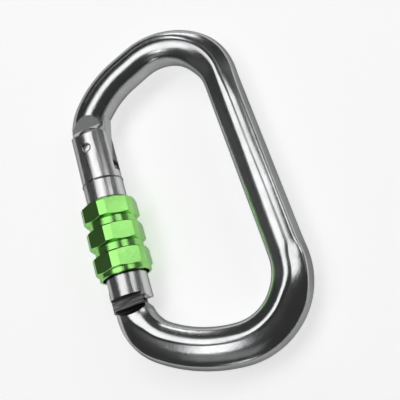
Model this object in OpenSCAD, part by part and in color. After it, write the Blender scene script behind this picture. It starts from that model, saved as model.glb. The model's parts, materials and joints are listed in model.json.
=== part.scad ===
/* Screw-lock carabiner: forged frame, hinged gate and threaded locking sleeve.
   The carabiner lies flat. +X points from the gate to the spine, +Y to the hinge
   end, +Z out of the frame's plane, and the frame's mid-plane is z = 0.
   Rest pose: gate closed, sleeve unscrewed. */

/* [Frame outline] */
// Radius of the shoulder bend above the hinge (bar centre line)
hinge_bend_r = 12.2; // [12:0.1:12.6]
// Angle turned by the shoulder bend above the hinge
hinge_bend_angle = 40; // [39:0.5:41]
// Radius of the long arm between the shoulder bend and the bow
arm_r = 32.5; // [32:0.5:34]
// Angle turned by that arm
arm_angle = 30; // [29:0.5:31]
// Radius of the hinge-end bow
top_bow_r = 18.8; // [18.4:0.1:19.2]
// Length of the straight spine
spine_len = 61.1; // [60.4:0.1:61.8]
// Radius of the basket where it leaves the spine
basket_r = 19.6; // [19:0.1:20]
// Angle turned by that basket bend
basket_angle = 94; // [93:0.1:95]
// Radius of the flatter bottom of the basket
bottom_r = 44.3; // [43:0.1:46]
// Angle turned by the bottom of the basket
bottom_angle = 32; // [31:0.1:33]
// Radius of the bend up to the nose
nose_bend_r = 13.2; // [13:0.1:13.5]
// Lean of the gate towards the spine, at its hinge end
gate_lean = 1.8; // [1.5:0.1:2.1]

/* [Frame section] */
// Bar width at the hinge shoulder
shoulder_w = 12.2; // [11.8:0.1:12.4]
// Bar width along the arm
arm_w = 11.8; // [11.5:0.1:12.1]
// Bar width at the middle of the hinge-end bow
bow_w = 11.2; // [11:0.1:11.6]
// Bar width where the bow meets the spine
corner_w = 12.8; // [12.4:0.1:13]
// Bar width across the basket
bend_w = 12.4; // [12:0.1:12.8]
// Bar width along the spine
spine_w = 11.2; // [10.8:0.1:11.6]
// Bar width at the nose
end_w = 11.8; // [11.4:0.1:12.2]
// Bar height, square to the frame's plane
bar_h = 10.8; // [10.4:0.1:11.2]

/* [Gate] */
// Radius of the gate barrel
barrel_r = 6.5; // [6.4:0.05:6.6]
// From the hinge pin to the ends of the gate's cheeks
cheek_end = 49.5; // [49.2:0.1:49.8]
// From the hinge pin to the end of the gate's inner wall
wall_end = 51.6; // [51.2:0.1:52]
// Thickness of the gate's inner wall at the nose
wall_t = 2; // [1.8:0.1:2.2]
// From the hinge pin to the gate's top face
gate_top = 6.9; // [6.7:0.05:7]

/* [Hinge] */
// Diameter of the hinge rivet's shank
rivet_d = 2.4; // [2.2:0.1:2.6]
// Thickness of the frame's hinge tongue
tongue_t = 4.4; // [4:0.1:4.6]
// Diameter of the gate spring's plunger
plunger_d = 3; // [2.8:0.1:3.2]
// Offset of the plunger from the gate's axis, towards the spine
plunger_x = 3; // [2.9:0.05:3.1]

/* [Sleeve] */
// Length of the locking sleeve
sleeve_len = 24.8; // [24.6:0.1:25]
// From the hinge pin to the sleeve's upper end, unscrewed
sleeve_start = 18.1; // [17.6:0.1:18.6]
// Radius over the sleeve's corners
sleeve_corner_r = 9.05; // [8.95:0.05:9.1]
// Angle of the wide flats, out of 60 degrees
flat_angle = 44; // [42:1:46]
// Radius at the bottom of the grooves between the rings
groove_r = 7.85; // [7.8:0.05:7.9]

/* [Retaining ring] */
// From the hinge pin to the ring in its groove
ring_at = 11.4; // [11:0.1:11.8]
// Diameter of the ring's wire
ring_wire = 0.6; // [0.5:0.05:0.7]

/* [Hidden] */
$fn = 96;
fit = 0.05;
hinge_drop = 6;
aluminium = "#b9bcbf";
steel = "#d4d6d8";
green = "#67c43e";

// --- Frame centre line -------------------------------------------------------
// A segment is [length, radius, rings]; radius 0 is a straight. The line starts
// on the gate's axis above the hinge and runs clockwise, seen from +Z. A station
// is [x, y, heading, distance along the line].
function seg_end(p, seg) =
    seg[1] == 0
    ? [p[0] + seg[0] * cos(p[2]), p[1] + seg[0] * sin(p[2]), p[2], p[3] + seg[0]]
    : let (turn = seg[0] / seg[1] * 180 / PI)
      [p[0] + seg[1] * (sin(p[2]) - sin(p[2] - turn)),
       p[1] - seg[1] * (cos(p[2]) - cos(p[2] - turn)), p[2] - turn, p[3] + seg[0]];
function arc_len(r, angle) = r * angle * PI / 180;
function walk(p, segs, i = 0) = i == len(segs) ? p : walk(seg_end(p, segs[i]), segs, i + 1);
function stations(p, segs, i = 0) =
    i == len(segs)
    ? [p]
    : concat([for (k = [0:segs[i][2] - 1]) seg_end(p, [segs[i][0] * k / segs[i][2], segs[i][1]])],
             stations(seg_end(p, segs[i]), segs, i + 1));

gate_heading = 90 - gate_lean;
start = [hinge_drop * cos(gate_heading), hinge_drop * sin(gate_heading), gate_heading, 0];
bow_angle = 180 - gate_lean - hinge_bend_angle - arm_angle;
nose_angle = 180 + gate_lean - basket_angle - bottom_angle;
function outline(straight) = [
    [arc_len(hinge_bend_r, hinge_bend_angle), hinge_bend_r, 6],
    [arc_len(arm_r, arm_angle), arm_r, 5],
    [straight, 0, 1],
    [arc_len(top_bow_r, bow_angle), top_bow_r, 14],
    [spine_len, 0, 12],
    [arc_len(basket_r, basket_angle), basket_r, 12],
    [arc_len(bottom_r, bottom_angle), bottom_r, 5],
    [arc_len(nose_bend_r, nose_angle), nose_bend_r, 8],
    [4, 0, 1]];
// The straight between the arm and the bow brings the nose back to the gate's axis.
loose_end = walk(start, outline(0));
arm_heading = gate_heading - hinge_bend_angle - arm_angle;
off_axis = loose_end[0] * sin(gate_heading) - loose_end[1] * cos(gate_heading);
segments = outline(-off_axis / sin(gate_heading - arm_heading));
line = stations(start, segments);
run = [for (i = 0, s = 0; i < len(segments); s = s + segments[i][0], i = i + 1) s];

// --- Bar section -------------------------------------------------------------
function ramp(x, a, b) = let (t = min(1, max(0, (x - a) / (b - a)))) t * t * (3 - 2 * t);
function bar_w(d) =
    shoulder_w + (arm_w - shoulder_w) * ramp(d, 0, run[1])
    + (bow_w - arm_w) * ramp(d, run[3] - 4, run[3] + 14)
    + (corner_w - bow_w) * ramp(d, run[3] + 18, run[4] - 12)
    + (spine_w - corner_w) * ramp(d, run[4] - 12, run[4] + 3)
    + (bend_w - spine_w) * ramp(d, run[5] - 5, run[5] + 14)
    + (end_w - bend_w) * ramp(d, run[7] + 4, run[8]);
// A rounded shape, fuller than an ellipse; u is positive on the outside.
function soft(v, power) = sign(v) * pow(abs(v), power);
function bar_point(d, a) = [bar_w(d) / 2 * soft(cos(a), 0.8), bar_h / 2 * soft(sin(a), 0.8)];
sides = 20;
function ring_points(p) = [for (k = [0:sides - 1])
    let (q = bar_point(p[3], 360 * (k + 0.5) / sides))
    [p[0] - q[0] * sin(p[2]), p[1] + q[0] * cos(p[2]), q[1]]];

// --- Sleeve's rings ---------------------------------------------------------------
ring_half = 3.25;
ring_mids = [3.8, 12.1, 20.4];
chamfer = 0.95;

// --- Place of the origin: the middle of the whole carabiner's box -------------
edge_out = [for (p = line) [p[0] - bar_w(p[3]) / 2 * sin(p[2]), p[1] + bar_w(p[3]) / 2 * cos(p[2])]];
high_x = max([for (p = edge_out) p[0]]);
high_y = max([for (p = edge_out) p[1]]);
low_y = min([for (p = edge_out) p[1]]);
flat_turn = -23;
sleeve_reach = sleeve_corner_r * cos(gate_lean) * max([for (k = [0:5], side = [-1, 1])
    cos(flat_turn + 60 * k + side * flat_angle / 2 + 90)]);
low_x = -(sleeve_reach + (sleeve_start + ring_mids[2] + ring_half - chamfer) * sin(gate_lean));
hinge = [-(high_x + low_x) / 2, -(high_y + low_y) / 2];

// The gate's own axes: x to the spine, y to the hinge end, origin at the pin.
module at_hinge() {
    translate([hinge[0], hinge[1], 0]) children();
}
module gate_axes() {
    at_hinge() rotate([0, 0, -gate_lean]) children();
}
// Turns a shape made along +Z to run down the gate from the pin to the nose,
// keeping x towards the spine.
module down_gate(from) {
    translate([0, -from, 0]) rotate([90, 0, 0]) children();
}

// --- Frame ---------------------------------------------------------------------
module bar() {
    points = [for (p = line) each ring_points(p)];
    last = len(line) - 1;
    polyhedron(points, concat(
        [[for (k = [0:sides - 1]) k]],
        [for (i = [0:last - 1], k = [0:sides - 1])
            let (a = i * sides + k, b = i * sides + (k + 1) % sides)
            each [[a, a + sides, b], [b, a + sides, b + sides]]],
        [[for (k = [0:sides - 1]) last * sides + sides - 1 - k]]), convexity = 6);
}
shoulder = gate_top + 0.4;
relief_r = 8;
facet_angle = 33;
// The room round the gate's hinge end: square above the pin, round inside it.
module hinge_room() {
    translate([-12, -20, -10]) cube([15, 20 + shoulder, 20]);
    translate([0, -20, -10]) cube([14, 20, 20]);
    translate([0, 0, -10]) cylinder(r = relief_r, h = 20);
}
// Sloping flats that run out on the bar's front and back at the shoulder.
module shoulder_flats() {
    for (side = [0, 1])
        mirror([0, 0, side]) translate([0, shoulder, 2.7]) rotate([facet_angle, 0, 0])
            translate([-10, -10, 0]) cube([22, 24, 8]);
}
// Tongue between the gate's cheeks, with the cam edge that drives the plunger.
cam_y = -4;
cam_from = plunger_x - plunger_d / 2 - 0.3;
module tongue() {
    translate([0, 0, -tongue_t / 2]) {
        difference() {
            cylinder(r = 5.1, h = tongue_t);
            translate([cam_from, cam_y - 3, -1]) cube([8, 3, tongue_t + 2]);
        }
        linear_extrude(tongue_t)
            polygon([[-5.1, 0], [-5.1, shoulder + 3], [2, shoulder + 6], [7.4, 10.4], [5.9, 3],
                     [5.2, cam_y], [3, cam_y]]);
    }
}
// Neck and T-shaped head that the gate hooks round when it is closed.
neck_t = 3;
head_from = 44.2;
head_to = 46.9;
head_w = 7.4;
nose_in = barrel_r - wall_t - 0.35;
bevel_from = 52.5;
bevel_angle = 64;
module sector(r_in, r_out, width, x_from, x_to) {
    translate([0, 0, -width / 2]) intersection() {
        difference() {
            cylinder(r = r_out, h = width, $fn = 200);
            translate([0, 0, -1]) cylinder(r = r_in, h = width + 2, $fn = 200);
        }
        translate([x_from, -r_out - 1, -1]) cube([x_to - x_from, r_out, width + 2]);
    }
}
module nose() {
    intersection() {
        union() {
            sector(head_from, head_to, head_w, -6, nose_in);
            sector(head_from, bevel_from + 1.2, neck_t, -6.2, nose_in);
        }
        down_gate(head_from - 1) cylinder(r = barrel_r - 0.1, h = 14);
    }
}
// The bar's end: square to the gate, bevelled front and back down to the neck,
// and flat on the inside so that the gate's inner wall passes it.
module nose_room() {
    translate([-10, -bevel_from, -10]) cube([20, 20, 20]);
    translate([0, 0, -10]) linear_extrude(20)
        polygon([[nose_in, -bevel_from + 1], [nose_in, -bevel_from], [7.3, -58.3], [13, -54], [13, -50]]);
    for (side = [0, 1])
        mirror([0, 0, side]) translate([0, -bevel_from, neck_t / 2]) rotate([-bevel_angle, 0, 0])
            translate([-10, -8, 0]) cube([20, 16, 10]);
}
module frame_body() {
    color(aluminium) {
        difference() {
            union() {
                difference() {
                    at_hinge() bar();
                    gate_axes() {
                        hinge_room();
                        shoulder_flats();
                        nose_room();
                    }
                }
                gate_axes() {
                    tongue();
                    nose();
                }
            }
            gate_axes() translate([0, 0, -10]) cylinder(d = rivet_d + 2 * fit, h = 20);
        }
    }
}

// --- Gate -----------------------------------------------------------------------
slot_t = tongue_t + 0.2;
slot_back = -5.5;
slot_floor = 8.7;
bore_d = plunger_d + 0.2;
bore_end = 31;
collar_r = 6.95;
collar_from = sleeve_start + 12.9;
collar_to = sleeve_start + 18.3;
head_gap = 0.3;
ring_r = barrel_r - 0.08;
recess_d = 3.2;
recess_z = 6;
wall_x = barrel_r - wall_t;
wall_round = 5;
// Barrel with the raised collar that carries the thread under the sleeve.
module barrel_outline() {
    down_gate(0) rotate_extrude() polygon([
        [0, -gate_top], [barrel_r - 0.5, -gate_top], [barrel_r, 0.5 - gate_top],
        [barrel_r, collar_from], [collar_r, collar_from + 0.4], [collar_r, collar_to - 0.4],
        [barrel_r, collar_to], [barrel_r, wall_end], [0, wall_end]]);
}
// Past the cheeks only the inner wall is left, and its end is rounded.
module end_cut() {
    translate([-10, -wall_end - 1, -10]) cube([10 + wall_x, wall_end - cheek_end + 1, 20]);
    difference() {
        translate([wall_x - 1, -wall_end - 1, -10]) cube([8, wall_end - cheek_end + 1, 20]);
        translate([wall_x - 2, wall_round - wall_end, 0]) rotate([0, 90, 0])
            cylinder(r = wall_round, h = 10);
    }
}
// Top inner corner of the cheeks, cut to a radius about the pin.
module corner_cut() {
    translate([3, 0, -10]) difference() {
        translate([0, 2, 0]) cube([8, 8, 20]);
        translate([-3, 0, -1]) cylinder(r = relief_r - 0.4, h = 22);
    }
}
// Sloping flats on the cheeks' top ends, facing the frame's shoulder flats.
module top_flats() {
    for (side = [0, 1])
        mirror([0, 0, side]) translate([0, gate_top, slot_t / 2]) rotate([27, 0, 0])
            translate([-10, 0, -8]) cube([20, 10, 20]);
}
module gate_barrel() {
    color(aluminium) gate_axes() difference() {
        barrel_outline();
        corner_cut();
        top_flats();
        end_cut();
        // slot for the tongue, open at the top and on the inner side
        translate([slot_back, -5.6, -slot_t / 2]) cube([20, 30, slot_t]);
        translate([0, -slot_floor, -slot_t / 2]) cube([20, 20, slot_t]);
        // bore of the spring and its plunger
        translate([plunger_x, 0, 0]) down_gate(4) cylinder(d = bore_d, h = bore_end - 4);
        // rivet hole and its recesses
        translate([0, 0, -10]) cylinder(d = rivet_d, h = 20);
        for (side = [0, 1]) mirror([0, 0, side]) translate([0, 0, recess_z]) cylinder(d = recess_d, h = 2);
        // keyhole slot for the nose, open on the outer side
        sector(head_from - head_gap, head_to + head_gap, head_w + 0.6, -9, nose_in + 0.35);
        sector(head_to, 60, neck_t + 0.5, -9, nose_in + 0.35);
        // groove of the retaining ring
        down_gate(ring_at - ring_wire / 2 - fit) difference() {
            cylinder(r = barrel_r + 1, h = ring_wire + 2 * fit);
            translate([0, 0, -1]) cylinder(r = ring_r - ring_wire / 2 - fit, h = ring_wire + 2);
        }
    }
}
module hinge_rivet() {
    color(steel) gate_axes() {
        translate([0, 0, -recess_z]) cylinder(d = rivet_d, h = 2 * recess_z);
        for (side = [0, 1]) mirror([0, 0, side]) translate([0, 0, recess_z]) rotate_extrude()
            polygon([[0, 0], [1.3, 0], [1.3, 0.14], [1.1, 0.32], [0.6, 0.43], [0, 0.46]]);
    }
}

// --- Gate spring ------------------------------------------------------------------
plunger_top = -cam_y + 0.1;
plunger_len = 9.5;
spring_turns = 11;
spring_wire = 0.5;
spring_r = plunger_d / 2 - 0.35;
spring_from = plunger_top + plunger_len;
module gate_plunger() {
    color(steel) gate_axes() translate([plunger_x, 0, 0]) down_gate(plunger_top) rotate_extrude()
        polygon([[0, 0], [0.9, 0], [1.3, 0.25], [plunger_d / 2, 0.8], [plunger_d / 2, plunger_len],
                 [0, plunger_len]]);
}
function coil(turns, r, from, to, wire, steps, around) = [for (i = [0:turns * steps])
    let (a = 360 * i / steps, z = from + (to - from) * i / (turns * steps))
    for (k = [0:around - 1])
        let (b = 360 * k / around, q = r + wire / 2 * cos(b))
        [q * cos(a), q * sin(a), z + wire / 2 * sin(b)]];
module wire_coil(turns, r, from, to, wire, steps, around) {
    last = turns * steps;
    polyhedron(coil(turns, r, from, to, wire, steps, around), concat(
        [[for (k = [0:around - 1]) k]],
        [for (i = [0:last - 1], k = [0:around - 1])
            let (a = i * around + k, b = i * around + (k + 1) % around)
            each [[a, a + around, b], [b, a + around, b + around]]],
        [[for (k = [0:around - 1]) last * around + around - 1 - k]]), convexity = 10);
}
module gate_spring() {
    color(steel) gate_axes() translate([plunger_x, 0, 0]) down_gate(0)
        wire_coil(spring_turns, spring_r, spring_from + 0.35, bore_end - 0.35, spring_wire, 12, 6);
}

// --- Retaining ring ----------------------------------------------------------------
module retaining_ring() {
    color(steel) gate_axes() down_gate(ring_at) rotate([0, 0, 96]) rotate_extrude(angle = 352)
        translate([ring_r, 0]) circle(d = ring_wire, $fn = 24);
}

// --- Locking sleeve -----------------------------------------------------------------
lip_r = barrel_r + 0.12;
thread_r = 7.05;
mouth_r = 7.35;
mouth_from = sleeve_len - 3;
rim_r = 8.2;
module flats_outline() {
    polygon([for (k = [0:5], side = [-1, 1])
        let (a = 90 - (flat_turn + 60 * k) - side * flat_angle / 2)
        sleeve_corner_r * [cos(a), sin(a)]]);
}
module hex_ring() {
    intersection() {
        translate([0, 0, -ring_half]) linear_extrude(2 * ring_half) flats_outline();
        rotate_extrude() polygon([[0, -ring_half], [groove_r - 0.35, -ring_half],
            [sleeve_corner_r + 0.05, -ring_half + chamfer], [sleeve_corner_r + 0.05, ring_half - chamfer],
            [groove_r - 0.35, ring_half], [0, ring_half]]);
    }
}
module locking_sleeve() {
    color(green) gate_axes() down_gate(sleeve_start) difference() {
        union() {
            rotate_extrude() polygon([[0, 0], [lip_r + 0.45, 0], [groove_r - 0.15, 0.5],
                [groove_r - 0.15, mouth_from], [rim_r, mouth_from + 0.3], [rim_r, sleeve_len - 0.2],
                [rim_r - 0.2, sleeve_len], [0, sleeve_len]]);
            for (mid = ring_mids) translate([0, 0, mid]) hex_ring();
        }
        translate([0, 0, -1]) cylinder(r = lip_r, h = sleeve_len + 2);
        translate([0, 0, 1.6]) cylinder(r = thread_r, h = sleeve_len);
        translate([0, 0, mouth_from]) cylinder(r = mouth_r, h = 4);
    }
}

frame_body();
gate_barrel();
hinge_rivet();
gate_plunger();
gate_spring();
retaining_ring();
locking_sleeve();
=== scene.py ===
"""Screw-lock carabiner lying on a pale floor: a forged, polished frame, a turned gate and
a green anodised sleeve. Lengths are in millimetres until a mesh is made."""
import json
import math

import bmesh
import bpy
from mathutils import Matrix, Vector


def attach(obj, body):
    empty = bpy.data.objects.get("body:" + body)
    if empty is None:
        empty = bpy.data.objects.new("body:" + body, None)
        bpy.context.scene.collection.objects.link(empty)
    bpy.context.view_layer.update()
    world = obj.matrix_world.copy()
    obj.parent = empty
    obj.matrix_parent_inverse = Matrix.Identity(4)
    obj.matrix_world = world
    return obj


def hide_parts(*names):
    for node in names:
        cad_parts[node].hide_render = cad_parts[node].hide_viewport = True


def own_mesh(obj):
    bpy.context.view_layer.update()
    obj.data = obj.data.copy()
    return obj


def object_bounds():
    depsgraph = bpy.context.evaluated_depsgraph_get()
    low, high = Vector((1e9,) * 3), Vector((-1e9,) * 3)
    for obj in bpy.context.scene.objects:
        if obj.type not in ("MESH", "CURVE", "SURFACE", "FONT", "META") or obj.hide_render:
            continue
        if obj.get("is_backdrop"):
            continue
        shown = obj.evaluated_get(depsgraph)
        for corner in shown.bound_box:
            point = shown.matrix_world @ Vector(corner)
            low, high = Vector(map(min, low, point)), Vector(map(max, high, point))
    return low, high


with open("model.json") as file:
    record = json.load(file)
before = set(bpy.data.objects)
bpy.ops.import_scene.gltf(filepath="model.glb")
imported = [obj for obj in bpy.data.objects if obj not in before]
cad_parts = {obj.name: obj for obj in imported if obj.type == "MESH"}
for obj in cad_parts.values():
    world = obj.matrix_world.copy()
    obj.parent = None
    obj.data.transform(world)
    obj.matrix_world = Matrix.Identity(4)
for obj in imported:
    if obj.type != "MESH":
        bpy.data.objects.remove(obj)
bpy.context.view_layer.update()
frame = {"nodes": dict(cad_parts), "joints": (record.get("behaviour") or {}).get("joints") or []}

MM = 0.001

# --- Frame of the gate ---------------------------------------------------------------
# The gate's own axes: x to the spine, y to the hinge end, origin at the hinge pin.
GATE_LEAN = math.radians(1.8)
hinge_joint = next(j for j in frame["joints"] if j["name"] == "gate_swing")
HINGE = Vector(hinge_joint["pos_m"]) / MM
TO_GATE = Matrix.Translation(HINGE) @ Matrix.Rotation(-GATE_LEAN, 4, "Z")

# --- Bar: centre line and section ------------------------------------------------------
# The bar runs clockwise from above the hinge. A bend is (radius, degrees turned).
HINGE_BEND = (12.2, 40.0)
ARM_BEND = (32.5, 30.0)
BOW_RADIUS = 18.8
SPINE_LENGTH = 61.1
BASKET_BEND = (19.6, 94.0)
BOTTOM_BEND = (44.3, 32.0)
NOSE_BEND_RADIUS = 13.2
START_ABOVE_HINGE = 6.0
NOSE_LENGTH = 4.0
RING_STEP = 0.7
KNOT_STEPS = 4
# The knots' gaps nearest the bar's inner and outer edges belong to its side faces, which take a rougher
# metal whose darker base colour is painted shade.
SIDE_GAPS = 3

# Half sections as (across, height), inner side first: side face, slope, ridge, crease,
# flange and outer side face. Each is for the width named beside it.
SECTIONS = {
    "arm": (11.8, [(-5.9, 0.0), (-5.85, 1.2), (-5.6, 2.4), (-5.2, 3.3),
                   (-4.7, 3.9), (-4.0, 4.4), (-3.2, 4.85), (-2.5, 5.12),
                   (-1.7, 5.32), (-0.8, 5.4), (0.0, 5.37), (0.7, 5.22),
                   (1.3, 4.95), (1.65, 4.8), (2.0, 4.78),
                   (2.6, 4.6), (3.3, 4.25), (4.0, 3.77), (4.65, 3.15), (5.15, 2.4),
                   (5.55, 1.55), (5.8, 0.75), (5.9, 0.0)]),
    "corner": (12.8, [(-6.4, 0.0), (-6.3, 1.2), (-6.0, 2.2), (-5.4, 3.1),
                      (-4.6, 3.75), (-3.6, 4.3), (-2.6, 4.78), (-1.7, 5.15),
                      (-1.1, 5.34), (-0.6, 5.4), (-0.1, 5.37), (0.3, 5.26),
                      (0.7, 5.12), (1.0, 5.03), (1.3, 4.95),
                      (2.2, 4.66), (3.1, 4.3), (3.9, 3.9), (4.6, 3.45), (5.2, 2.9),
                      (5.7, 2.1), (6.15, 1.0), (6.4, 0.0)]),
    "spine": (11.2, [(-5.6, 0.0), (-5.55, 1.3), (-5.35, 2.4), (-4.95, 3.2),
                     (-4.4, 3.8), (-3.7, 4.3), (-2.9, 4.72), (-2.2, 5.0),
                     (-1.5, 5.24), (-0.8, 5.39), (0.2, 5.4), (0.9, 5.33),
                     (1.08, 5.2), (1.22, 5.08), (1.45, 5.04),
                     (2.2, 4.98), (2.9, 4.86), (3.4, 4.7), (3.85, 4.38), (4.15, 3.95),
                     (4.5, 3.1), (5.15, 1.4), (5.6, 0.0)]),
    "flare": (12.0, [(-6.0, 0.0), (-5.95, 1.2), (-5.75, 2.3), (-5.3, 3.2),
                     (-4.7, 3.85), (-4.0, 4.35), (-3.2, 4.78), (-2.5, 5.06),
                     (-2.0, 5.24), (-1.4, 5.38), (-0.7, 5.4), (-0.1, 5.33),
                     (0.1, 5.22), (0.3, 5.14), (0.6, 5.13),
                     (1.4, 5.14), (2.5, 5.13), (3.5, 5.05), (4.35, 4.8), (4.85, 4.25),
                     (5.2, 3.1), (5.7, 1.3), (6.0, 0.0)]),
    "basket": (12.4, [(-6.2, 0.0), (-6.15, 1.2), (-5.95, 2.3), (-5.5, 3.25),
                      (-4.9, 3.9), (-4.2, 4.42), (-3.4, 4.92), (-2.8, 5.19),
                      (-2.3, 5.33), (-1.8, 5.4), (-1.4, 5.37), (-1.1, 5.27),
                      (-0.9, 5.18), (-0.5, 5.1), (0.1, 5.0),
                      (1.3, 4.77), (2.4, 4.45), (3.4, 4.06), (4.25, 3.62), (4.95, 3.1),
                      (5.45, 2.3), (5.9, 1.0), (6.2, 0.0)]),
    "end": (11.8, [(-5.9, 0.0), (-5.8, 1.1), (-5.5, 2.15), (-5.0, 3.05),
                   (-4.4, 3.75), (-3.7, 4.3), (-2.9, 4.75), (-2.1, 5.07),
                   (-1.3, 5.28), (-0.5, 5.38), (0.3, 5.38), (0.9, 5.32),
                   (1.4, 5.2), (1.7, 5.12), (2.0, 5.02),
                   (2.6, 4.78), (3.3, 4.38), (4.0, 3.85), (4.6, 3.25), (5.1, 2.6),
                   (5.5, 1.8), (5.8, 0.9), (5.9, 0.0)]),
}


def smooth_through(knots, steps):
    """A Catmull-Rom curve through the knots, with steps points for each gap."""
    points = []
    for i in range(len(knots) - 1):
        p0 = Vector(knots[max(i - 1, 0)])
        p1 = Vector(knots[i])
        p2 = Vector(knots[i + 1])
        p3 = Vector(knots[min(i + 2, len(knots) - 1)])
        for k in range(steps):
            t = k / steps
            points.append(0.5 * (2 * p1 + (p2 - p0) * t + (2 * p0 - 5 * p1 + 4 * p2 - p3) * t * t
                                 + (3 * p1 - p0 - 3 * p2 + p3) * t ** 3))
    return points


def closed_section(knots):
    """The whole outline: the front half, then the same half mirrored to the back."""
    front = smooth_through(knots, KNOT_STEPS)
    ends = [Vector(knots[-1])]
    back = [Vector((p.x, -p.y)) for p in reversed(front[1:])]
    return front + ends + back


def ramp(x, low, high):
    t = min(1.0, max(0.0, (x - low) / (high - low)))
    return t * t * (3 - 2 * t)


def step_along(p, length, radius):
    """The station a length further along a straight or a clockwise bend."""
    x, y, heading, run = p
    if radius is None:
        return (x + length * math.cos(heading), y + length * math.sin(heading), heading, run + length)
    turned = heading - length / radius
    return (x + radius * (math.sin(heading) - math.sin(turned)),
            y - radius * (math.cos(heading) - math.cos(turned)), turned, run + length)


def arc(radius, degrees):
    """A bend as (length, radius)."""
    return (radius * math.radians(degrees), radius)


def bar_segments(straight):
    """Each segment's (length, radius), clockwise; the bow and the nose bend turn what is left."""
    lean = math.degrees(GATE_LEAN)
    bow = 180 - lean - HINGE_BEND[1] - ARM_BEND[1]
    nose = 180 + lean - BASKET_BEND[1] - BOTTOM_BEND[1]
    return [arc(*HINGE_BEND), arc(*ARM_BEND), (straight, None), arc(BOW_RADIUS, bow),
            (SPINE_LENGTH, None), arc(*BASKET_BEND), arc(*BOTTOM_BEND),
            arc(NOSE_BEND_RADIUS, nose), (NOSE_LENGTH, None)]


def bar_line():
    """Stations (x, y, heading, distance) along the bar, with the hinge pin at the origin,
    and the distance at which each segment starts.

    The straight between the arm and the bow is as long as it takes for the nose to end on
    the gate's axis."""
    heading = math.pi / 2 - GATE_LEAN
    start = (START_ABOVE_HINGE * math.cos(heading), START_ABOVE_HINGE * math.sin(heading), heading, 0.0)
    p = start
    for length, radius in bar_segments(0.0):
        p = step_along(p, length, radius)
    off_axis = p[0] * math.sin(heading) - p[1] * math.cos(heading)
    straight = -off_axis / math.sin(math.radians(HINGE_BEND[1] + ARM_BEND[1]))
    stations, starts, p = [], [], start
    for length, radius in bar_segments(straight):
        starts.append(p[3])
        count = max(1, round(length / RING_STEP))
        for k in range(count):
            stations.append(step_along(p, length * k / count, radius))
        p = step_along(p, length, radius)
    stations.append(p)
    return stations, starts


SHOULDER_WIDTH, ARM_WIDTH, BOW_WIDTH, CORNER_WIDTH = 12.2, 11.8, 11.2, 12.8
SPINE_WIDTH, BEND_WIDTH, END_WIDTH = 11.2, 12.4, 11.8


def bar_width(d, s):
    """The bar's width at a distance along it; s holds where each segment starts."""
    return (SHOULDER_WIDTH + (ARM_WIDTH - SHOULDER_WIDTH) * ramp(d, 0, s[1])
            + (BOW_WIDTH - ARM_WIDTH) * ramp(d, s[1], s[3] + 12)
            + (CORNER_WIDTH - BOW_WIDTH) * ramp(d, s[3] + 9, s[4] - 6)
            + (SPINE_WIDTH - CORNER_WIDTH) * ramp(d, s[4] - 12, s[4] + 3)
            + (BEND_WIDTH - SPINE_WIDTH) * ramp(d, s[5] - 5, s[5] + 14)
            + (END_WIDTH - BEND_WIDTH) * ramp(d, s[7] + 4, s[8]))


def mesh_object(name, vertices, faces):
    mesh = bpy.data.meshes.new(name)
    mesh.from_pydata([Vector(v) * MM for v in vertices], [], faces)
    mesh.validate()
    obj = bpy.data.objects.new(name, mesh)
    bpy.context.scene.collection.objects.link(obj)
    bm = bmesh.new()
    bm.from_mesh(mesh)
    bmesh.ops.recalc_face_normals(bm, faces=bm.faces)
    bm.to_mesh(mesh)
    bm.free()
    return obj


def section_blend(d, s):
    """How much of each section the bar has at a distance along it."""
    arm = ramp(d, 2, 12)
    corner = ramp(d, s[3] + 10, s[3] + 26)
    spine = 0.6 * ramp(d, s[4] - 2, s[4] + 12) + 0.4 * ramp(d, s[4] + 24, s[4] + 44)
    flare = ramp(d, s[5] - 3, s[5] + 2)
    basket = ramp(d, s[5] + 5, s[5] + 14)
    nose = ramp(d, s[7] + 4, s[8])
    return {"end": 1 - arm + nose, "arm": arm - corner, "corner": corner - spine,
            "spine": spine - flare, "flare": flare - basket, "basket": basket - nose}


# The bar's material slots after the first, which is its polished metal.
# The second slot, for the nose, has a dark base colour that is painted shade.
# The third slot, for the side faces, has a darker base colour that is painted shade.
MACHINED_AND_SHADED, TRIMMED_AND_SHADED = 1, 2


def swept_bar(bar_materials):
    stations, starts = bar_line()
    outlines = {name: [p / width for p in closed_section(knots)]
                for name, (width, knots) in SECTIONS.items()}
    count = len(outlines["arm"])
    vertices, faces = [], []
    for x, y, heading, d in stations:
        blend = section_blend(d, starts)
        width = bar_width(d, starts)
        for k in range(count):
            across = width * sum(part * outlines[name][k].x for name, part in blend.items())
            height = sum(part * SECTIONS[name][0] * outlines[name][k].y for name, part in blend.items())
            vertices.append((HINGE.x + x - across * math.sin(heading),
                             HINGE.y + y + across * math.cos(heading), height))
    for i in range(len(stations) - 1):
        for k in range(count):
            a, b = i * count + k, i * count + (k + 1) % count
            faces.append((a, b, b + count, a + count))
    faces.append(tuple(range(count)))
    faces.append(tuple(range((len(stations) - 1) * count, len(stations) * count)))
    bar = mesh_object("forged_frame", vertices, faces)
    for material in bar_materials:
        bar.data.materials.append(material)
    # The side faces take the third material, whose darker base colour is painted shade.
    near_edge = SIDE_GAPS * KNOT_STEPS
    for face in bar.data.polygons:
        k = face.index % count
        inner = k < near_edge or k >= count - near_edge
        outer = abs(k + 0.5 - count / 2) < near_edge
        if (inner or outer) and len(face.vertices) == 4:
            face.material_index = TRIMMED_AND_SHADED
    return bar


# --- Solids for cutting and joining -----------------------------------------------------
def prism(name, outline, low, high, place=TO_GATE):
    """An outline in the gate's plane, carried from height low to high."""
    n = len(outline)
    vertices = [place @ Vector((x, y, z)) for z in (low, high) for x, y in outline]
    faces = [tuple(range(n)), tuple(range(n, 2 * n))]
    faces += [(k, (k + 1) % n, n + (k + 1) % n, n + k) for k in range(n)]
    return mesh_object(name, vertices, faces)


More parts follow.
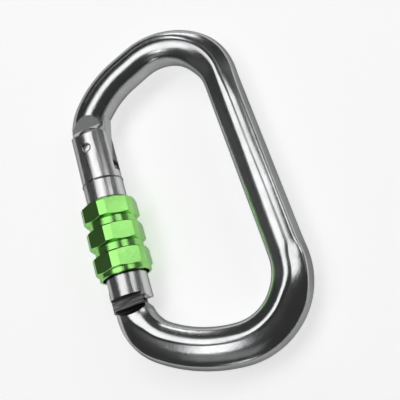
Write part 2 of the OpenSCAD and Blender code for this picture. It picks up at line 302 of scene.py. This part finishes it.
def circle(radius, steps=96, centre=(0, 0), start=0.0, end=360.0):
    whole = abs(end - start) >= 360
    count = steps if whole else steps + 1
    return [(centre[0] + radius * math.cos(math.radians(start + (end - start) * k / steps)),
             centre[1] + radius * math.sin(math.radians(start + (end - start) * k / steps)))
            for k in range(count)]


def box(name, low, high, place=TO_GATE):
    return prism(name, [(low[0], low[1]), (high[0], low[1]), (high[0], high[1]), (low[0], high[1])],
                 low[2], high[2], place)


def combine(base, other, how):
    modifier = base.modifiers.new(how, "BOOLEAN")
    modifier.operation = how
    modifier.solver = "EXACT"
    modifier.object = other
    bpy.context.view_layer.update()
    depsgraph = bpy.context.evaluated_depsgraph_get()
    mesh = bpy.data.meshes.new_from_object(base.evaluated_get(depsgraph))
    base.modifiers.clear()
    base.data = mesh
    bpy.data.objects.remove(other)


def round_edges(obj, width, angle=20, segments=2):
    bevel = obj.modifiers.new("edge", "BEVEL")
    bevel.width = width * MM
    bevel.segments = segments
    bevel.limit_method = "ANGLE"
    bevel.angle_limit = math.radians(angle)
    bevel.harden_normals = True
    obj.data.shade_smooth()


# --- Frame's ends ------------------------------------------------------------------------
# The gate swings in under a shoulder; the tongue below it carries the pin.
GATE_TOP = 6.9
SHOULDER = GATE_TOP + 0.4
RELIEF_RADIUS = 8.0
# Planes cut from the bar's front and back: (height where they start, tilt in degrees).
SHOULDER_FLAT = (2.7, 33)
SHOULDER_CHAMFER = (2.4, 48)
TONGUE = 4.4
TONGUE_RADIUS = 5.1
CAM_Y = -4.0
PIN_BORE_RADIUS = 1.25
# The nose ends in a thin neck with a wide head; both lie between radii from the pin.
NECK = 3.0
HEAD_FROM, HEAD_TO, HEAD_WIDTH = 44.2, 46.9, 7.4
NOSE_INSIDE = 4.15
BEVEL_FROM = 52.5
NOSE_BEVEL = (NECK / 2, -54)


def cut_both_faces(bar, y, cut):
    """Cut the bar's front and back away beyond a pair of tilted planes that start at y."""
    height, degrees = cut
    for side in (1, -1):
        low, high = (0, 10) if side > 0 else (-10, 0)
        tilt = Matrix.Rotation(math.radians(degrees * side), 4, "X")
        place = TO_GATE @ Matrix.Translation((0, y, side * height)) @ tilt
        combine(bar, box("slope", (-10, -10, low), (12, 14, high), place), "DIFFERENCE")


def cut_hinge_end(bar):
    """Room for the gate's top corner as it swings, under a shoulder with sloping faces."""
    room = [(-12, -20), (14, -20), (14, 0), (RELIEF_RADIUS, 0)]
    over_the_top = 180 - math.degrees(math.asin(SHOULDER / RELIEF_RADIUS))
    room += circle(RELIEF_RADIUS, 60, end=over_the_top)[1:]
    room += [(-12, SHOULDER)]
    combine(bar, prism("room", room, -10, 10), "DIFFERENCE")
    cut_both_faces(bar, SHOULDER, SHOULDER_FLAT)
    cut_both_faces(bar, SHOULDER, SHOULDER_CHAMFER)


def add_tongue(bar):
    """The plate the gate hinges on, with the flat that the plunger presses on."""
    plate = circle(TONGUE_RADIUS, 60, start=180, end=284)
    plate += [(1.2, CAM_Y), (5.2, CAM_Y), (5.9, 3), (7.4, 10.4), (2, SHOULDER + 6),
              (-TONGUE_RADIUS, SHOULDER + 3)]
    combine(bar, prism("tongue", plate, -TONGUE / 2, TONGUE / 2), "UNION")
    combine(bar, prism("bore", circle(PIN_BORE_RADIUS), -10, 10), "DIFFERENCE")


def arc_band(r_in, r_out, x_from, x_to):
    """A band about the hinge pin, between two radii and two distances across."""
    def side(r, xs):
        return [(x, -math.sqrt(r * r - x * x)) for x in xs]
    xs = [x_from + (x_to - x_from) * k / 12 for k in range(13)]
    return side(r_out, xs) + side(r_in, reversed(xs))


def cut_nose_end(bar):
    """Cut the nose back to a bevelled end and join the neck and head to it."""
    combine(bar, box("room", (-10, -BEVEL_FROM, -10), (10, -BEVEL_FROM + 20, 10)), "DIFFERENCE")
    inside = [(NOSE_INSIDE, -BEVEL_FROM + 1), (NOSE_INSIDE, -BEVEL_FROM), (7.3, -58.3),
              (13, -54), (13, -50)]
    combine(bar, prism("inside", inside, -10, 10), "DIFFERENCE")
    cut_both_faces(bar, -BEVEL_FROM, NOSE_BEVEL)
    neck = prism("neck", arc_band(HEAD_FROM, BEVEL_FROM + 1.2, -6.2, NOSE_INSIDE), -NECK / 2, NECK / 2)
    head_band = arc_band(HEAD_FROM, HEAD_TO, -5.2, NOSE_INSIDE)
    head = prism("head", head_band, -HEAD_WIDTH / 2, HEAD_WIDTH / 2)
    combine(neck, head, "UNION")
    combine(bar, neck, "UNION")


def mark_machined_and_shaded_faces(bar):
    """The neck, head and bevels at the nose take the bar's second material: rough, tool-marked metal
    whose dark base colour is painted shade.
    """
    to_local = TO_GATE.inverted()
    for face in bar.data.polygons:
        centre = to_local @ (face.center / MM)
        normal = to_local.to_3x3() @ face.normal
        on_plate = abs(centre.z) < HEAD_WIDTH / 2 + 0.1 and -1 < centre.y + BEVEL_FROM < 9.5
        on_bevel = normal.y > 0.6 and -4.5 < centre.y + BEVEL_FROM < 2.5
        if centre.x < NOSE_INSIDE + 2.85 and (on_plate or on_bevel):
            face.material_index = MACHINED_AND_SHADED


# --- Gate spring ------------------------------------------------------------------------------
# The spring lies along the plunger; its ends are heights on the gate's y axis.
PLUNGER_X = 3.0
SPRING_FROM, SPRING_TO = -13.95, -30.65
SPRING_RADIUS, SPRING_WIRE, SPRING_TURNS = 1.15, 0.5, 11


def spring_height(turn):
    """Distance from the spring's first turn; the end turns lie close together."""
    close = SPRING_WIRE * 1.1
    pitch = (SPRING_FROM - SPRING_TO - 2 * close) / (SPRING_TURNS - 2)
    return (close * min(turn, 1) + pitch * min(max(turn - 1, 0), SPRING_TURNS - 2)
            + close * max(turn - SPRING_TURNS + 1, 0))


def coil_spring(steps=28, around=10):
    vertices = []
    rings = SPRING_TURNS * steps + 1
    for i in range(rings):
        angle = 2 * math.pi * i / steps
        y = SPRING_FROM - spring_height(i / steps)
        for k in range(around):
            side = 2 * math.pi * k / around
            r = SPRING_RADIUS + SPRING_WIRE / 2 * math.cos(side)
            along = y + SPRING_WIRE / 2 * math.sin(side)
            point = Vector((PLUNGER_X + r * math.cos(angle), along, r * math.sin(angle)))
            vertices.append(TO_GATE @ point)
    faces = [(i * around + k, i * around + (k + 1) % around,
              (i + 1) * around + (k + 1) % around, (i + 1) * around + k)
             for i in range(rings - 1) for k in range(around)]
    faces.append(tuple(range(around)))
    faces.append(tuple(range((rings - 1) * around, rings * around)))
    spring = mesh_object("coil_spring", vertices, faces)
    spring.data.shade_smooth()
    return spring


def squash_spring(spring):
    """Gives the spring a mesh of its own; it is not squashed as the gate opens."""
    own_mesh(spring)


# --- Materials ------------------------------------------------------------------------------
def new_material(name):
    material = bpy.data.materials.new(name)
    material.use_nodes = True
    shader = material.node_tree.nodes["Principled BSDF"]
    return material, material.node_tree, shader


def link(tree, a, a_socket, b, b_socket):
    tree.links.new(a.outputs[a_socket], b.inputs[b_socket])


def noise(tree, place, scale, detail):
    node = tree.nodes.new("ShaderNodeTexNoise")
    node.inputs["Scale"].default_value = scale
    node.inputs["Detail"].default_value = detail
    link(tree, place, "Vector", node, "Vector")
    return node


def add_tone(tree, shader, place, base, dark, patches):
    """Patches of a slightly darker base colour."""
    cloud = noise(tree, place, patches, 4)
    tone = tree.nodes.new("ShaderNodeValToRGB")
    tone.color_ramp.elements[0].position = 0.35
    tone.color_ramp.elements[0].color = [c * dark for c in base] + [1]
    tone.color_ramp.elements[1].position = 0.65
    tone.color_ramp.elements[1].color = list(base) + [1]
    link(tree, cloud, "Fac", tone, "Fac")
    link(tree, tone, "Color", shader, "Base Color")


def add_grain(tree, shader, place, roughness, grain):
    """A fine grain in the polish and in the surface."""
    scale, strength = grain
    fine = noise(tree, place, scale, 5)
    rough = tree.nodes.new("ShaderNodeMapRange")
    rough.inputs["From Min"].default_value = 0.3
    rough.inputs["From Max"].default_value = 0.7
    rough.inputs["To Min"].default_value = roughness * 0.7
    rough.inputs["To Max"].default_value = roughness * 1.35
    link(tree, fine, "Fac", rough, "Value")
    link(tree, rough, "Result", shader, "Roughness")
    relief = tree.nodes.new("ShaderNodeBump")
    relief.inputs["Strength"].default_value = strength
    relief.inputs["Distance"].default_value = 0.0001
    link(tree, fine, "Fac", relief, "Height")
    link(tree, relief, "Normal", shader, "Normal")


def metal(name, base, roughness, grain, stretch=(1, 1, 1), tint=0.28, dark=0.88, patches=180):
    """Bare or dyed metal with slow changes in tone and a fine surface grain.

    The grain is (scale, bump strength); stretch under 1 draws it out along that axis;
    patches is the scale of the changes in tone."""
    material, tree, shader = new_material(name)
    shader.inputs["Metallic"].default_value = 1.0
    shader.inputs["Specular Tint"].default_value = (tint, tint, tint, 1)
    where = tree.nodes.new("ShaderNodeTexCoord")
    place = tree.nodes.new("ShaderNodeMapping")
    place.inputs["Scale"].default_value = stretch
    link(tree, where, "Object", place, "Vector")
    add_tone(tree, shader, place, base, dark, patches)
    add_grain(tree, shader, place, roughness, grain)
    return material


def add_clear_layer(material):
    """The clear oxide over the dye."""
    shader = material.node_tree.nodes["Principled BSDF"]
    shader.inputs["Coat Weight"].default_value = 0.3
    shader.inputs["Coat IOR"].default_value = 1.62
    shader.inputs["Coat Roughness"].default_value = 0.12


def pale_material(name, base, glow):
    material, tree, shader = new_material(name)
    shader.inputs["Base Color"].default_value = (base, base, base, 1)
    shader.inputs["Roughness"].default_value = 0.9
    shader.inputs["Specular IOR Level"].default_value = 0.1
    shader.inputs["Emission Color"].default_value = (1, 1, 1, 1)
    shader.inputs["Emission Strength"].default_value = glow
    return material


# --- Build -------------------------------------------------------------------------------------
def set_material(obj, material):
    obj.data.materials.clear()
    obj.data.materials.append(material)


frame_metal = metal("frame_metal", (0.60, 0.605, 0.61), 0.18, (2600, 0.22))
# Rough, tool-marked metal for the nose; its dark base colour is painted shade on the bevels, neck and
# head.
machined_and_shaded = metal("machined_nose_painted_shade", (0.22, 0.22, 0.225), 0.34, (2200, 1.0), stretch=(0.10, 1, 1),
                 tint=0.3, dark=0.15, patches=1400)
# A rougher finish for the bar's side faces, with a darker base colour that paints shade on them.
trimmed_and_shaded = metal("trimmed_side_painted_shade", (0.38, 0.383, 0.388), 0.28, (2600, 0.45))
bar = swept_bar((frame_metal, machined_and_shaded, trimmed_and_shaded))
cut_hinge_end(bar)
add_tongue(bar)
cut_nose_end(bar)
round_edges(bar, 0.18)
mark_machined_and_shaded_faces(bar)
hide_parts("frame_body")
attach(bar, "frame")

along_gate = (1, 0.06, 1)
gate_metal = metal("gate_metal", (0.62, 0.62, 0.625), 0.21, (3000, 0.30), along_gate)
steel = metal("steel", (0.66, 0.66, 0.65), 0.22, (5000, 0.15))
# Dark steel for the coil spring and the retaining ring; on the ring the darkness is painted shade of
# the groove it sits in.
dark_steel_and_shade = metal("dark_steel_and_shade", (0.30, 0.30, 0.30), 0.25, (5000, 0.15), tint=0.3)
green = metal("green_anodise", (0.29, 0.69, 0.17), 0.20, (3800, 0.16), tint=0.5)
add_clear_layer(green)
# Each CAD piece that is kept: its name, its material and the width of its rounded edges.
KEPT_PIECES = [
    ("gate_barrel", gate_metal, 0.12),
    ("hinge_rivet", steel, 0.05),
    ("gate_plunger", steel, 0.1),
    # Its dark material is painted shade of the groove the ring sits in.
    ("retaining_ring", dark_steel_and_shade, None),
    ("locking_sleeve", green, 0.42),
]
for name, material, edge in KEPT_PIECES:
    node = frame["nodes"][name]
    set_material(node, material)
    if edge:
        round_edges(node, edge, segments=3)

spring = coil_spring()
set_material(spring, dark_steel_and_shade)
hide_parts("gate_spring")
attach(spring, "gate")
squash_spring(spring)

# --- Floor, light and camera -----------------------------------------------------------------
low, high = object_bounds()


def make_floor(width=4000):
    half = width / 2
    obj = mesh_object("floor", [(-half, -half, 0), (half, -half, 0), (half, half, 0), (-half, half, 0)],
                      [(0, 1, 2, 3)])
    obj.matrix_world = Matrix.Translation((0, 0, low[2]))
    return obj


floor = make_floor()
set_material(floor, pale_material("pale_floor", 0.9, 0.55))
floor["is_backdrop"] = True


def backdrop(radius=1900, height=1700, sides=96):
    """A pale wall round the floor; only the camera sees it."""
    ring = circle(radius, sides)
    vertices = [(x, y, z) for z in (low[2] / MM, low[2] / MM + height) for x, y in ring]
    faces = [(k, (k + 1) % sides, sides + (k + 1) % sides, sides + k) for k in range(sides)]
    wall = mesh_object("backdrop", vertices, faces)
    wall.visible_glossy = False
    wall.visible_diffuse = False
    wall.visible_shadow = False
    return wall


wall = backdrop()
set_material(wall, pale_material("pale_wall", 0.0, 0.90))
wall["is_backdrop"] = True

LIGHT_DISTANCE = 900


def softbox(name, direction, angles, brightness, turn=0.0):
    """A soft light in a direction from the object, so many degrees wide and high."""
    data = bpy.data.lights.new(name, "AREA")
    data.shape = "RECTANGLE"
    data.size = 2 * LIGHT_DISTANCE * math.tan(math.radians(angles[0] / 2)) * MM
    data.size_y = 2 * LIGHT_DISTANCE * math.tan(math.radians(angles[1] / 2)) * MM
    data.energy = brightness * math.pi * data.size * data.size_y
    light = bpy.data.objects.new(name, data)
    bpy.context.scene.collection.objects.link(light)
    light.location = Vector(direction).normalized() * LIGHT_DISTANCE * MM
    facing = light.location.to_track_quat("Z", "Y").to_matrix().to_4x4()
    facing = facing @ Matrix.Rotation(math.radians(turn), 4, "Z")
    light.rotation_euler = facing.to_euler()
    return light


softbox("overhead", (-0.08, 0.31, 0.94), (62, 30), 1.65, 24)
softbox("overhead_core", (-0.08, 0.31, 0.94), (44, 18), 1.0, 24)
softbox("small_front", (-0.32, -0.30, 0.90), (10, 12), 2.8)
softbox("low_front", (-0.25, -0.93, 0.27), (14, 10), 1.6)
softbox("back", (0.18, 0.96, 0.22), (20, 14), 2.2)
softbox("right_strip", (0.75, 0.26, 0.61), (13, 28), 1.5)
softbox("right", (0.88, 0.15, 0.45), (50, 50), 0.12)
softbox("left", (-0.88, 0.25, 0.40), (32, 32), 0.05)
softbox("front", (-0.30, -0.62, 0.72), (30, 16), 0.26)

world = bpy.data.worlds.new("studio")
world.use_nodes = True
world.node_tree.nodes["Background"].inputs["Color"].default_value = (0.045, 0.045, 0.046, 1)
bpy.context.scene.world = world

EYE = Vector((38.62, -60.04, 164.05))
AIM = Vector((6.66, -4.85, 0.0))
ROLL = math.radians(-50.89)
FIELD_OF_VIEW = math.radians(38.44)


def camera():
    data = bpy.data.cameras.new("camera")
    data.sensor_fit = "HORIZONTAL"
    data.angle = FIELD_OF_VIEW
    data.clip_start = 0.005
    data.clip_end = 20
    obj = bpy.data.objects.new("camera", data)
    bpy.context.scene.collection.objects.link(obj)
    back = (EYE - AIM).normalized()
    right = Vector((0, 0, 1)).cross(back).normalized()
    up = back.cross(right)
    turned_right = right * math.cos(ROLL) + up * math.sin(ROLL)
    turned_up = back.cross(turned_right)
    axes = Matrix((turned_right, turned_up, back)).transposed()
    obj.matrix_world = Matrix.Translation(EYE * MM) @ axes.to_4x4()
    bpy.context.scene.camera = obj


camera()
bpy.context.scene.view_settings.view_transform = "Standard"

low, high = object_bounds()
